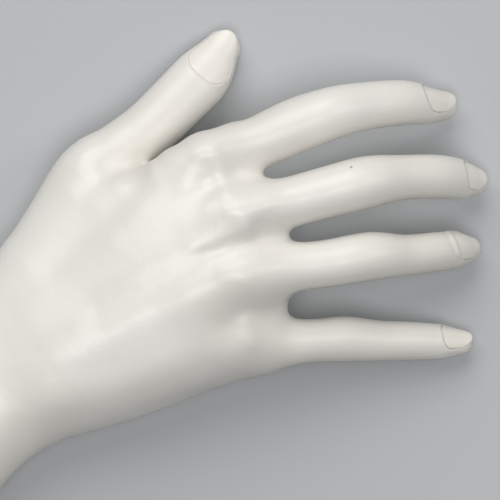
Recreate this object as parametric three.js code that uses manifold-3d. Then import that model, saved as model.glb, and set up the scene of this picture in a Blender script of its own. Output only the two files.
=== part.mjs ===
// Jewellery display hand: a life-size right hand lying palm down, cast as two hollow half shells.
// Millimetres. X runs along the fingers, Y towards the thumb, Z up from the surface it rests on.
import * as THREE from 'three';
import { MarchingCubes } from 'three/addons/objects/MarchingCubes.js';
import { mergeVertices } from 'three/addons/utils/BufferGeometryUtils.js';
import Module from 'manifold-3d';

const wasm = await Module();
wasm.setup();

// Driving dimensions of the shells
const wall = 2.8;
const seamGap = 0.3;
const seamDrop = 2.4;
const seamDip = 3.5;
const seamDipHalfWidth = 6;
const seamDipPath = [[-34.9, 28.1], [-25.2, 36.2], [-15.5, 44.5]];
const fit = 0.3;

// Driving dimensions of the forearm and its closed end
const wristCentre = [-81, -40.7, 20];
const wristHalfBreadth = 23.9;
const wristHalfHeight = 17.5;
const forearmHeading = 225.7;
const forearmLength = 50;
const forearmBulge = 0.55;
const forearmFlare = 0.8;
const forearmRoot = [-67.8, -30.7, 20];
const forearmRootHalfHeight = 15;
const endHalfBreadth = 27.4;
const endHalfHeight = 19.4;
const mouthWall = 1.8;
const plateThickness = 5;

// Driving dimensions of the stand bush, its washer and its nut
const bushBore = 8;
const bushBody = 12;
const bushFlange = 20;
const bushFlangeThickness = 1.6;
const bushLength = 17;
const washerDiameter = 22;
const washerThickness = 1.2;
const nutAcrossFlats = 18;
const nutThickness = 6;

// Driving dimensions of the screws that hold the plate, and of the bosses they bite into
const screwHead = 5.4;
const screwHeadHeight = 2.2;
const screwShank = 3;
const screwLength = 14;
const crossSlotLength = 3.2;
const crossSlotWidth = 0.7;
const crossSlotDepth = 1.2;
const bossDiameter = 8.4;
const bossLength = 13;
const bossAcross = 15.6;
const bossUp = 9.4;

// Driving dimensions of the finger nails
const nailThickness = 1;
const nailOverhang = 1.9;
const nailSeatReach = 8;
const nailSeatRise = 4;

// Fineness of the surfaces
const gridCentre = [-30, 12.3, 22];
const gridCells = 54;
const lengthCell = 5.6;
const lengthTaper = 0.03;
const palmCell = 5.6;
const digitCell = 3.4;
const coreCoarseness = 1.4;
const seamPitch = 9;
const stepsPerStation = 6;

// Each digit is a walk along its bone from inside the palm: every row is one step. The columns are the
// step's length, its heading seen from above, its droop below level, then the half breadth, the rise
// above the bone and the depth below it at the step's end. The stations are root, knuckle, base of the
// first bone, its middle, second joint, middle of the second bone, last joint, nail root and tip.
// A nail has its length, how far it runs past the tip station, its half spread round the digit in
// degrees and its turn towards the thumb's side.
const indexFinger = {
  root: [-27.1, 23.3, 33],
  roll: 22,
  cap: 3.9,
  rows: [
    [0, 0, 0, 6.4, 8, 10],
    [14.5, 25, -6, 7.3, 9.4, 11],
    [16.4, 17, 5, 8.1, 9, 9.5],
    [15, 23, 4, 8.8, 8.6, 9],
    [12.7, 19, 9, 8.3, 8.6, 8.6],
    [11.8, 12, 22, 7.7, 7.4, 8],
    [12.7, 6, 28, 7.3, 7.2, 7.4],
    [9.8, -3, 38, 6.3, 6.2, 6.8],
    [8.3, 0, 39, 4.6, 4.6, 5.5],
  ],
  nail: { length: 14.6, past: 1.7, spread: 60, turn: 8, sink: 0.9, rootCurve: 3.6, tipCurve: 3.6 },
};
const middleFinger = {
  root: [-17.5, 8.3, 37],
  roll: 13,
  cap: 3.9,
  rows: [
    [0, 0, 0, 7, 8, 10],
    [14.3, 14, -8, 7.9, 10.3, 11],
    [15.3, 12, 6, 7.9, 9, 9.5],
    [13.3, 15, 6, 8.1, 8.6, 9],
    [13.8, 14, 10, 8.3, 9, 8.8],
    [13.3, 8, 27, 7.2, 7.6, 8],
    [13.3, 2, 32, 7.1, 7.4, 7.6],
    [10.3, -5, 43, 6.5, 6.4, 6.8],
    [7.8, -7, 45, 4.6, 4.6, 5.5],
  ],
  nail: { length: 11.6, past: 1.4, spread: 54, turn: 6, sink: 1, rootCurve: 2.8, tipCurve: 3.6 },
};
const ringFinger = {
  root: [-17.5, -9.2, 36],
  roll: 10,
  cap: 3.9,
  rows: [
    [0, 0, 0, 7, 8, 10],
    [14.5, 8, -6, 7.6, 10, 11],
    [14.5, 6, 6, 7.6, 8.6, 9],
    [12.9, 6, 7, 7.5, 8.2, 8.6],
    [14.9, 9, 12, 7.8, 8.8, 8.4],
    [12.7, 2, 26, 6.6, 6.9, 7.6],
    [12.8, 6, 31, 6.3, 6.8, 7.2],
    [8.8, 6, 45, 6, 5.8, 6.4],
    [6.7, 2, 51, 4.2, 4.4, 5.2],
  ],
  nail: { length: 13, past: 1, spread: 58, turn: 10, sink: 0.5, rootCurve: 2.8, tipCurve: 3.6 },
};
const littleFinger = {
  root: [-17.6, -28.2, 27],
  roll: 20,
  cap: 4,
  rows: [
    [0, 0, 0, 6.4, 7, 9],
    [14.8, 0, -4, 7.4, 8.5, 9.5],
    [14.6, -5, 14, 7.4, 7.4, 8],
    [10.2, 2, 17, 6.9, 7, 7.4],
    [10.4, 2, 20, 7.3, 7.4, 7.4],
    [11.9, -3, 17, 6.5, 6.4, 6.8],
    [11, -1, 16, 6.2, 6.2, 6.4],
    [9.7, -2, 17, 5.7, 5.2, 5.6],
    [7, -2, 18, 4.1, 3.8, 4.6],
  ],
  nail: { length: 10.7, past: 3, spread: 58, turn: 16, sink: 0.5, rootCurve: 2.4, tipCurve: 3.6 },
};

// The thumb's stations are root, knuckle, two along the first bone, last joint, nail root and tip.
const thumb = {
  root: [-62.2, 4.9, 15],
  roll: 0,
  cap: 5.2,
  rows: [
    [0, 0, 0, 11.7, 10, 11],
    [21.6, 63, -13, 10.7, 10.5, 11],
    [12.9, 37, 4, 9.7, 9, 10],
    [13.1, 39, 11, 9.2, 8.4, 9],
    [14.6, 45, 16, 9.4, 8.4, 8.4],
    [11.8, 47, 15, 9.2, 7, 7.6],
    [10.6, 55.5, 12, 5.9, 4.8, 6.4],
  ],
  nail: { length: 19.2, past: 5, spread: 49, turn: 10, sink: 0.5, rootCurve: 4.5, tipCurve: 5 },
};
const fingers = [indexFinger, middleFinger, ringFinger, littleFinger];

// Each palm bone runs from the wrist over the arch of the hand to just under its finger's knuckle.
const palmBones = [
  { finger: indexFinger, sink: 0.7, wrist: [-61.1, -20.9, 24], arch: [-39, 2.2, 30.5] },
  { finger: middleFinger, sink: 1.5, wrist: [-61, -28.9, 25.5], arch: [-33.5, -8, 33] },
  { finger: ringFinger, sink: 1.5, wrist: [-62.7, -35.4, 24.5], arch: [-33.5, -21.7, 32] },
  { finger: littleFinger, sink: 0.2, wrist: [-64.5, -41.9, 21.5], arch: [-33.7, -35.3, 27] },
];
const palmBoneSections = [[9.6, 10, 11], [11, 9.5, 12.5], [8.2, 9.5, 12]];

// The fleshy parts: points along each one, with the half breadth, rise and depth at each point.
const thumbBall = {
  points: [[-76.5, -17.2, 15], [-64.4, 1.9, 17], [-51.7, 22.6, 18.5]],
  sections: [[12.3, 13, 12], [12, 12, 14], [10, 10, 12]],
};
const littleBall = {
  points: [[-70, -48, 15], [-42.1, -41.5, 16], [-16.2, -33, 17], [3.9, -31.3, 19]],
  sections: [[11, 13, 12], [13, 12, 13], [11.6, 10, 11], [7.8, 8, 9]],
};
const thumbMuscle = {
  points: [[-64.4, -8.1, 22.5], [-50.8, 8.4, 24], [-40.5, 17.3, 25.5]],
  sections: [[11.6, 9, 9], [10.3, 9, 9], [6.4, 8, 8]],
};
const thumbFold = {
  points: [[-44.3, 13.5, 26], [-37.2, 19.6, 27], [-31.4, 21.8, 28], [-25.6, 25.3, 29.5],
    [-20.1, 28.8, 31.5], [-14, 31.3, 33.5]],
  sections: [[5.8, 8, 8], [5.5, 7.6, 7.5], [5.4, 7.4, 7], [5.4, 7.2, 7], [5.4, 7.2, 7], [5.7, 7.4, 8]],
  roll: 14,
};
const outerWristBone = {
  points: [[-104.7, -76.7, 22], [-90.2, -63.1, 22], [-76, -50.3, 22]],
  sections: [[7.7, 12, 10], [7.7, 12, 10], [7.4, 12, 10]],
};
// A web hangs between the first bones of two fingers. For each finger it states how far along that bone
// it starts and how far under it; the half breadths are at its start, middle and end.
const webs = [
  { ends: [[indexFinger, 0.65, 2.6], [middleFinger, 0.21, 4.7]], halfBreadths: [5.4, 5.4, 5.4] },
  { ends: [[middleFinger, 0.51, 4.2], [ringFinger, 0.62, 3.6]], halfBreadths: [7, 7, 7] },
  { ends: [[ringFinger, 0.56, 4.7], [littleFinger, 0.48, 2.3]], halfBreadths: [7.7, 6.9, 6.1] },
];
const webRise = [7, 6.5, 7];
const webDepth = 6.5;
const webSag = 1;

// How softly each part melts into the ones before it
const palmBlend = 26;
const ballBlend = 18;
const forearmBlend = 22;
const wristBoneBlend = 8;
const muscleBlend = 16;
const foldBlend = 9;
const webBlend = 9;
const fingerBlend = 7;
const thumbBlend = 5;

// Shallow hollows between the knuckles, and the trimmed edge of the fold beside the thumb: a path seen
// from above, its width and its depth
const hollows = [
  { path: [[-4.5, 29.4], [-6, 26.2]], width: 4, depth: 1.2 },
  { path: [[-17.2, 0.6], [-3.2, 1.9], [3.8, 8.9]], width: 3.6, depth: 1.3 },
  { path: [[-12.7, -16.2], [0, -14.7], [5.7, -21]], width: 4, depth: 1.2 },
  { path: [[-15, 41.1], [-20.4, 38.8], [-24.2, 36.6]], width: 2.8, depth: 1.9 },
  { path: [[-25.8, 35.3], [-29.6, 32.8]], width: 2.2, depth: 0.8 },
];
const backHeight = 22;
const backFade = 8;

const degrees = THREE.MathUtils.degToRad;

// A point of a walk, and the direction of one step
function direction(heading, droop) {
  const level = Math.cos(degrees(droop));
  return new THREE.Vector3(
    level * Math.cos(degrees(heading)),
    level * Math.sin(degrees(heading)),
    -Math.sin(degrees(droop)),
  );
}

function walk({ root, rows }) {
  const at = new THREE.Vector3(...root);
  return rows.map(([length, heading, droop]) => {
    at.addScaledVector(direction(heading, droop), length);
    return at.clone();
  });
}

// A limb of changing section swept along a smooth line; distance() is negative inside it
class Limb {
  constructor({ points, sections, roll = 0, cap = 8, rootCap = 8 }) {
    const spans = (points.length - 1) * stepsPerStation;
    const smooth = (list) => new THREE.CatmullRomCurve3(list, false, 'catmullrom', 0.5).getPoints(spans);
    this.centre = smooth(points.map((p) => (p.isVector3 ? p : new THREE.Vector3(...p))));
    this.section = smooth(sections.map((s) => new THREE.Vector3(...s)));
    this.cap = cap;
    this.rootCap = rootCap;
    const up = new THREE.Vector3(0, Math.sin(degrees(roll)), Math.cos(degrees(roll)));
    this.along = this.centre.map((p, i) => {
      const before = this.centre[Math.max(i - 1, 0)];
      const after = this.centre[Math.min(i + 1, spans)];
      return after.clone().sub(before).normalize();
    });
    this.side = this.along.map((t) => t.clone().cross(up).normalize());
    this.back = this.side.map((s, i) => s.clone().cross(this.along[i]));
    this.box = new THREE.Box3().setFromPoints(this.centre).expandByScalar(Limb.reach);
  }

  distance(x, y, z) {
    const { min, max } = this.box;
    if (x < min.x || y < min.y || z < min.z || x > max.x || y > max.y || z > max.z) {
      return Limb.far;
    }
    const { centre } = this;
    const last = centre.length - 2;
    let nearest = Infinity;
    let span = 0;
    let share = 0;
    for (let i = 0; i <= last; i += 1) {
      const a = centre[i];
      const b = centre[i + 1];
      const ux = b.x - a.x;
      const uy = b.y - a.y;
      const uz = b.z - a.z;
      const vx = x - a.x;
      const vy = y - a.y;
      const vz = z - a.z;
      const t = Math.min(Math.max((vx * ux + vy * uy + vz * uz) / (ux * ux + uy * uy + uz * uz), 0), 1);
      const square = (vx - t * ux) ** 2 + (vy - t * uy) ** 2 + (vz - t * uz) ** 2;
      if (square < nearest) {
        nearest = square;
        span = i;
        share = t;
      }
    }
    const offset = new THREE.Vector3(x, y, z).sub(this.between(centre, span, share));
    const section = this.between(this.section, span, share);
    const across = offset.dot(this.between(this.side, span, share));
    const above = offset.dot(this.between(this.back, span, share));
    const pastEnd = (span === 0 && share === 0) || (span === last && share === 1);
    const beyond = pastEnd ? offset.dot(this.between(this.along, span, share)) : 0;
    const cap = span < (last + 1) / 2 ? this.rootCap : this.cap;
    const height = above > 0 ? section.y : section.z;
    const ratio = Math.hypot(across / section.x, above / height, beyond / cap) + 1e-9;
    return Math.hypot(across, above, beyond) * (1 - 1 / ratio);
  }

  between(list, span, share) {
    return list[span].clone().lerp(list[span + 1], share);
  }

  // The frame of the bone at a distance before its tip station
  beforeTip(distance) {
    let span = this.centre.length - 2;
    let left = distance;
    while (span > 0 && left > this.centre[span].distanceTo(this.centre[span + 1])) {
      left -= this.centre[span].distanceTo(this.centre[span + 1]);
      span -= 1;
    }
    const share = 1 - left / this.centre[span].distanceTo(this.centre[span + 1]);
    const pick = (list) => this.between(list, span, share);
    return {
      centre: pick(this.centre),
      along: pick(this.along).normalize(),
      side: pick(this.side).normalize(),
      back: pick(this.back).normalize(),
      section: pick(this.section),
    };
  }
}
Limb.reach = 40;
Limb.far = 40;

// Two distances melted into one over a width, with no crease
function melt(a, b, width) {
  const share = Math.max(width - Math.abs(a - b), 0) / width;
  return Math.min(a, b) - (share ** 3 * width) / 6;
}

function digitLimb({ root, rows, roll, cap }) {
  const sections = rows.map((row) => row.slice(3));
  return new Limb({ points: walk({ root, rows }), sections, roll, cap, rootCap: 6 });
}

function palmBoneLimb({ finger, sink, wrist, arch }) {
  const knuckle = walk(finger)[1];
  knuckle.z -= sink;
  return new Limb({ points: [wrist, arch, knuckle], sections: palmBoneSections });
}

function webLimb({ ends, halfBreadths }) {
  const [start, end] = ends.map(([finger, along, sink]) => {
    const bone = walk(finger);
    return bone[1].clone().lerp(bone[2], along).add(new THREE.Vector3(0, 0, -sink));
  });
  const middle = start.clone().lerp(end, 0.5).add(new THREE.Vector3(0, 0, -webSag));
  return new Limb({
    points: [start, middle, end],
    sections: halfBreadths.map((half, i) => [half, webRise[i], webDepth]),
  });
}

// The forearm's own line: its level axis leaves the wrist at forearmHeading and runs past the cut end
const outward = direction(forearmHeading, 0);
const wrist = new THREE.Vector3(...wristCentre);
const endCentre = wrist.clone().addScaledVector(outward, forearmLength);
const overrun = 9;
const forearm = new Limb({
  points: [
    endCentre.clone().addScaledVector(outward, overrun),
    wrist.clone().addScaledVector(outward, forearmLength * forearmBulge),
    wrist,
    forearmRoot,
  ],
  sections: [
    [endHalfBreadth + forearmFlare, endHalfHeight, endHalfHeight],
    [(wristHalfBreadth + endHalfBreadth) / 2, endHalfHeight, endHalfHeight - forearmFlare / 2],
    [wristHalfBreadth, wristHalfHeight, wristHalfHeight],
    [wristHalfBreadth, forearmRootHalfHeight, forearmRootHalfHeight],
  ],
  rootCap: 3,
  cap: 20,
});

// The limbs of the hand, in the order in which they melt together. The core of the mould fills the palm
// and the forearm: the digits and the webs between them are cast solid.
const coreLimbs = [
  ...palmBones.map((bone) => ({ limb: palmBoneLimb(bone), blend: palmBlend })),
  { limb: new Limb(thumbBall), blend: ballBlend },
  { limb: new Limb(littleBall), blend: ballBlend },
  { limb: forearm, blend: forearmBlend },
];
const thumbLimb = digitLimb(thumb);
const fingerLimbs = fingers.map(digitLimb);
const handLimbs = [
  ...coreLimbs,
  { limb: new Limb(outerWristBone), blend: wristBoneBlend },
  { limb: new Limb(thumbMuscle), blend: muscleBlend },
  { limb: new Limb(thumbFold), blend: foldBlend },
  ...webs.map((web) => ({ limb: webLimb(web), blend: webBlend })),
  ...fingerLimbs.map((limb) => ({ limb, blend: fingerBlend })),
  { limb: thumbLimb, blend: thumbBlend },
];

// How far a point lies from a path, seen from above
function pathDistance(x, y, path) {
  const here = new THREE.Vector3(x, y, 0);
  const near = new THREE.Vector3();
  return path.slice(1).reduce((least, end, i) => {
    const line = new THREE.Line3(new THREE.Vector3(...path[i], 0), new THREE.Vector3(...end, 0));
    line.closestPointToPoint(here, true, near);
    return Math.min(least, near.distanceTo(here));
  }, Infinity);
}

function hollowDepth(x, y, z) {
  const rise = THREE.MathUtils.smoothstep(z, backHeight, backHeight + backFade);
  if (rise === 0) {
    return 0;
  }
  return hollows.reduce((sum, { path, width, depth }) => {
    const away = pathDistance(x, y, path) / width;
    return sum + rise * depth * Math.exp(-(away ** 2) / 2);
  }, 0);
}

function melted(limbs, x, y, z) {
  return limbs.reduce((sum, { limb, blend }) => melt(sum, limb.distance(x, y, z), blend), Limb.far);
}

const skinDistance = (x, y, z) => melted(handLimbs, x, y, z) + hollowDepth(x, y, z);
const coreDistance = (x, y, z) => melted(coreLimbs, x, y, z) + hollowDepth(x, y, z) + wall;

// A point of the grid in which the surfaces are found: its cells grow shorter towards the finger tips
// and are finer across the digits than across the palm and the forearm
function gridPoint(u, v, w, coarseness, point) {
  const step = u * coarseness;
  const x = gridCentre[0] + step * (lengthCell - lengthTaper * step);
  const cell = coarseness * THREE.MathUtils.lerp(palmCell, digitCell, THREE.MathUtils.smoothstep(x, -90, 5));
  return point.set(x, gridCentre[1] + v * cell, gridCentre[2] + w * cell);
}

// The closed surface where a distance is zero
function surface(distance, coarseness) {
  const count = Math.ceil(gridCells / coarseness);
  const cubes = new MarchingCubes(count, new THREE.MeshBasicMaterial(), false, false, 30000);
  cubes.isolation = 0;
  const least = 0.12 * digitCell * coarseness;
  const point = new THREE.Vector3();
  const half = count / 2;
  for (let k = 0; k < count; k += 1) {
    for (let j = 0; j < count; j += 1) {
      for (let i = 0; i < count; i += 1) {
        const { x, y, z } = gridPoint(i - half, j - half, k - half, coarseness, point);
        const value = distance(x, y, z);
        const kept = Math.sign(value || 1) * Math.max(Math.abs(value), least);
        cubes.field[i + j * count + k * count * count] = -kept;
      }
    }
  }
  cubes.update();
  const corners = cubes.positionArray.slice(0, cubes.count * 3);
  const geometry = new THREE.BufferGeometry();
  geometry.setAttribute('position', new THREE.BufferAttribute(corners, 3));
  const merged = mergeVertices(geometry, 1e-5);
  const position = merged.getAttribute('position');
  for (let i = 0; i < position.count; i += 1) {
    point.fromBufferAttribute(position, i).multiplyScalar(half);
    gridPoint(point.x, point.y, point.z, coarseness, point);
    settle(point, distance);
    position.setXYZ(i, point.x, point.y, point.z);
  }
  return merged;
}

// Moves a point along the slope of a distance until it lies on the zero surface
function settle(point, distance) {
  const reach = 0.3;
  for (let round = 0; round < 4; round += 1) {
    const { x, y, z } = point;
    const here = distance(x, y, z);
    const slope = new THREE.Vector3(
      distance(x + reach, y, z) - distance(x - reach, y, z),
      distance(x, y + reach, z) - distance(x, y - reach, z),
      distance(x, y, z + reach) - distance(x, y, z - reach),
    ).divideScalar(2 * reach);
    const move = THREE.MathUtils.clamp(here / Math.max(slope.lengthSq(), 0.25), -1, 1);
    point.addScaledVector(slope, -move);
  }
}

// Solids for joining and cutting
function solid(geometry) {
  const bare = geometry.clone();
  bare.deleteAttribute('normal');
  bare.deleteAttribute('uv');
  const merged = mergeVertices(bare, 1e-5);
  return new wasm.Manifold(new wasm.Mesh({
    numProp: 3,
    vertProperties: new Float32Array(merged.getAttribute('position').array),
    triVerts: new Uint32Array(merged.getIndex().array),
  }));
}

function geometryOf(body) {
  const mesh = body.getMesh();
  const geometry = new THREE.BufferGeometry();
  geometry.setAttribute('position', new THREE.BufferAttribute(new Float32Array(mesh.vertProperties), 3));
  geometry.setIndex(new THREE.BufferAttribute(new Uint32Array(mesh.triVerts), 1));
  return geometry;
}

// The end frame: Z points out of the cut end, X across the forearm, Y up. Every piece is made in it.
const endFrame = new THREE.Matrix4().makeBasis(
  new THREE.Vector3(0, 0, 1).cross(outward),
  new THREE.Vector3(0, 0, 1),
  outward,
).setPosition(endCentre);
const intoEndFrame = endFrame.clone().invert();
const fromHand = (shape) => solid(shape.applyMatrix4(intoEndFrame));

// A round bar along Z between two depths, with a chosen number of sides
function bar(radius, from, to, [across, up] = [0, 0], sides = 24, farRadius = radius) {
  const shape = new THREE.CylinderGeometry(farRadius, radius, to - from, sides);
  shape.rotateX(Math.PI / 2);
  shape.translate(across, up, (from + to) / 2);
  return solid(shape);
}

function ovalPlate(halfBreadth, halfHeight, from, to) {
  const outline = new THREE.Shape().absellipse(0, 0, halfBreadth, halfHeight, 0, Math.PI * 2);
  const depth = to - from;
  const shape = new THREE.ExtrudeGeometry(outline, { depth, bevelEnabled: false, curveSegments: 24 });
  shape.translate(0, 0, from);
  return solid(shape);
}

const bossPlaces = [-bossUp, bossUp].flatMap((up) => [[-bossAcross, up], [bossAcross, up]]);
const plateInside = -plateThickness;
const bossTop = plateInside - fit;

// The hollow hand, still in one piece
function hollowHand() {
  const skin = fromHand(surface(skinDistance, 1));
  const core = fromHand(surface(coreDistance, coreCoarseness));
  const room = 2 * endHalfBreadth;
  const beyondEnd = solid(new THREE.BoxGeometry(2 * room, 2 * room, room).translate(0, 0, room / 2));
  const mouth = ovalPlate(endHalfBreadth - mouthWall, endHalfHeight - mouthWall, bossTop, 1);
  let hand = skin.subtract(core);
  bossPlaces.forEach((place) => {
    hand = hand.add(bar(bossDiameter / 2, bossTop - bossLength, bossTop, place).intersect(skin));
  });
  hand = hand.subtract(mouth).subtract(beyondEnd);
  bossPlaces.forEach((place) => {
    hand = hand.subtract(bar(screwShank / 2 + fit, bossTop - bossLength - 1, bossTop + 1, place, 12));
  });
  return hand;
}

// The seam follows the bones' own height, a little lower, so that it hides under the hand's outline. It
// dips beside the thumb, where it would show from above.
function seamHeight(x, y) {
  const spread = 8;
  let weight = 1e-9;
  let height = 0;
  handLimbs.forEach(({ limb }) => {
    limb.centre.forEach((p) => {
      const share = Math.exp(-((p.x - x) ** 2 + (p.y - y) ** 2) / (2 * spread * spread)) + 1e-12;
      weight += share;
      height += share * p.z;
    });
  });
  const dip = seamDip * Math.exp(-((pathDistance(x, y, seamDipPath) / seamDipHalfWidth) ** 2) / 2);
  return height / weight - seamDrop - dip;
}

function aboveSeam(shift) {
  const room = handLimbs.reduce((box, { limb }) => box.union(limb.box), new THREE.Box3());
  const size = room.getSize(new THREE.Vector3());
  const centre = room.getCenter(new THREE.Vector3());
  const [rows, columns] = [Math.round(size.x / seamPitch), Math.round(size.y / seamPitch)];
  const block = new THREE.BoxGeometry(size.x, size.y, size.z, rows, columns, 1);
  block.translate(...centre.toArray());
  const position = block.getAttribute('position');
  for (let i = 0; i < position.count; i += 1) {
    if (position.getZ(i) < centre.z) {
      position.setZ(i, seamHeight(position.getX(i), position.getY(i)) + shift);
    }
  }
  return fromHand(block);
}

// A point of the form that a nail follows: ahead of the tip station, round the digit from its back, and
// above the skin. Past the tip station the form tapers more slowly than the flesh under it.
function nailPoint(limb, nail, ahead, angle, height) {
  const { centre, along, side, back, section } = limb.beforeTip(Math.max(-ahead, 0));
  const past = Math.max(ahead, 0);
  const taper = Math.sqrt(1 - (Math.min(past, nail.past) / (nailOverhang * limb.cap)) ** 2);
  const up = Math.cos(degrees(angle));
  const aside = -Math.sin(degrees(angle));
  const out = back.clone().multiplyScalar(up / section.y).addScaledVector(side, aside / section.x);
  return centre.addScaledVector(along, past)
    .addScaledVector(back, taper * up * section.y)
    .addScaledVector(side, taper * aside * section.x)
    .addScaledVector(out.normalize(), height);
}

// A nail's body: a tile that follows the digit, rounded at its root and pointed like an almond at its tip
function nailTile(limb, nail) {
  const tile = new THREE.BoxGeometry(2, 2, 1, 6, 8, 1);
  const position = tile.getAttribute('position');
  for (let i = 0; i < position.count; i += 1) {
    const across = position.getY(i);
    const along = (position.getX(i) + 1) / 2;
    const root = nail.past - nail.length + nail.rootCurve * across ** 4;
    const tip = nail.past - nail.tipCurve * across ** 2;
    const top = -nail.sink * (1 - along);
    const height = position.getZ(i) > 0 ? top : top - nailThickness;
    const ahead = THREE.MathUtils.lerp(root, tip, along);
    position.setXYZ(i, ...nailPoint(limb, nail, ahead, nail.turn + across * nail.spread, height).toArray());
  }
  return tile;
}

// The seat that a nail lies in: open above the skin and past the tip of the digit
function nailSeat(limb, nail) {
  const seat = new THREE.BoxGeometry(2, 2, 1, 6, 6, 1);
  const position = seat.getAttribute('position');
  const margin = THREE.MathUtils.radToDeg(fit / limb.section[limb.section.length - 1].x);
  for (let i = 0; i < position.count; i += 1) {
    const across = position.getY(i);
    const along = (position.getX(i) + 1) / 2;
    const root = nail.past - nail.length - fit + nail.rootCurve * across ** 4;
    const share = Math.min(along * (1 + nailSeatReach / nail.length), 1);
    const floor = -nail.sink * (1 - share) - nailThickness - fit;
    const height = position.getZ(i) > 0 ? nailSeatRise : floor;
    const ahead = THREE.MathUtils.lerp(root, nail.past + nailSeatReach, along);
    const angle = nail.turn + across * (nail.spread + margin);
    position.setXYZ(i, ...nailPoint(limb, nail, ahead, angle, height).toArray());
  }
  return seat;
}

// Finishes
const paint = { color: 0xe6e2da, roughness: 0.36, metalness: 0 };
const nailPaint = { color: 0xe9e6df, roughness: 0.26, metalness: 0 };
const platePlastic = { color: 0xd9d6cf, roughness: 0.5, metalness: 0 };
const brass = { color: 0xb89a5a, roughness: 0.32, metalness: 1 };
const steel = { color: 0xb4b6b8, roughness: 0.34, metalness: 1 };

const hand = new THREE.Group();
hand.applyMatrix4(endFrame);
function piece(name, body, finish) {
  const mesh = new THREE.Mesh(geometryOf(body), new THREE.MeshStandardMaterial(finish));
  mesh.name = name;
  hand.add(mesh);
}

// The two half shells, with a seat for every nail
const digits = [
  { name: 'thumb_nail', digit: thumb, limb: thumbLimb },
  { name: 'index_nail', digit: indexFinger, limb: fingerLimbs[0] },
  { name: 'middle_nail', digit: middleFinger, limb: fingerLimbs[1] },
  { name: 'ring_nail', digit: ringFinger, limb: fingerLimbs[2] },
  { name: 'little_nail', digit: littleFinger, limb: fingerLimbs[3] },
];
let shells = hollowHand();
digits.forEach(({ digit, limb }) => {
  shells = shells.subtract(fromHand(nailSeat(limb, digit.nail)));
});
piece('back_shell', shells.intersect(aboveSeam(seamGap / 2)), paint);
piece('palm_shell', shells.subtract(aboveSeam(-seamGap / 2)), paint);

digits.forEach(({ name, digit, limb }) => {
  piece(name, fromHand(nailTile(limb, digit.nail)), nailPaint);
});

// The plate that closes the end, with its bush, washer, nut and screws
let plate = ovalPlate(endHalfBreadth - mouthWall - fit, endHalfHeight - mouthWall - fit, plateInside, 0);
plate = plate.subtract(bar(bushBody / 2 + fit, plateInside - 1, 1));
plate = plate.subtract(bar(bushFlange / 2 + fit, -bushFlangeThickness - fit, 1));
bossPlaces.forEach((place) => {
  plate = plate.subtract(bar(screwShank / 2 + fit, plateInside - 1, 1, place, 12));
  plate = plate.subtract(bar(screwShank / 2 + fit, -screwHeadHeight, 0, place, 20, screwHead / 2 + fit));
});
piece('wrist_plate', plate, platePlastic);

let bush = bar(bushFlange / 2, -bushFlangeThickness, 0, [0, 0], 32);
bush = bush.add(bar(bushBody / 2, -bushLength, -bushFlangeThickness / 2));
bush = bush.subtract(bar(bushBore / 2, -bushLength - 1, 1));
piece('stand_bush', bush, brass);

const washerTop = plateInside - fit;
let washer = bar(washerDiameter / 2, washerTop - washerThickness, washerTop, [0, 0], 32);
washer = washer.subtract(bar(bushBody / 2 + fit, washerTop - washerThickness - 1, washerTop + 1));
piece('bush_washer', washer, steel);

const nutTop = washerTop - washerThickness - fit;
let nut = bar(nutAcrossFlats / Math.sqrt(3), nutTop - nutThickness, nutTop, [0, 0], 6);
nut = nut.subtract(bar(bushBody / 2 + fit, nutTop - nutThickness - 1, nutTop + 1));
piece('bush_nut', nut, steel);

bossPlaces.forEach((place, index) => {
  let screw = bar(screwShank / 2, -screwHeadHeight, 0, place, 20, screwHead / 2);
  screw = screw.add(bar(screwShank / 2, -screwLength, -screwHeadHeight / 2, place, 10));
  [[crossSlotLength, crossSlotWidth], [crossSlotWidth, crossSlotLength]].forEach(([across, up]) => {
    const slot = new THREE.BoxGeometry(across, up, 2 * crossSlotDepth).translate(...place, 0);
    screw = screw.subtract(solid(slot));
  });
  piece(`plate_screw_${index + 1}`, screw, steel);
});

// The origin is under the middle of the hand, on the surface that it rests on
const model = new THREE.Group();
model.add(hand);
const bounds = new THREE.Box3().setFromObject(model, true);
const middle = bounds.getCenter(new THREE.Vector3());
model.position.set(-middle.x, -middle.y, -bounds.min.z);

export default model;
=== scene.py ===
import math

import bmesh
import bpy
import numpy as np
from mathutils import Matrix, Vector


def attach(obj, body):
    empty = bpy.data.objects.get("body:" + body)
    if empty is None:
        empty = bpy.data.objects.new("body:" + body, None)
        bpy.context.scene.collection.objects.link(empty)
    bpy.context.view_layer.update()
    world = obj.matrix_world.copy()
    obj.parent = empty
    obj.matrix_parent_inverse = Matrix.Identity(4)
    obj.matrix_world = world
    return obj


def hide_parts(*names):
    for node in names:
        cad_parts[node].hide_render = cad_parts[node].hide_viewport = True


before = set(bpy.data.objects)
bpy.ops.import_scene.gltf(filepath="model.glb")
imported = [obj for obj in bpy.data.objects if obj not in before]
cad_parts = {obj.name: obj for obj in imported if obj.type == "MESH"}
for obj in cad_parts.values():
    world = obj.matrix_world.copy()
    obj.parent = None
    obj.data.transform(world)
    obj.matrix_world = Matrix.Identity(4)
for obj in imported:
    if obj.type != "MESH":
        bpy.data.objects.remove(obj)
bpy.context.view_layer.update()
scene = bpy.context.scene

MM = 0.001

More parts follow.
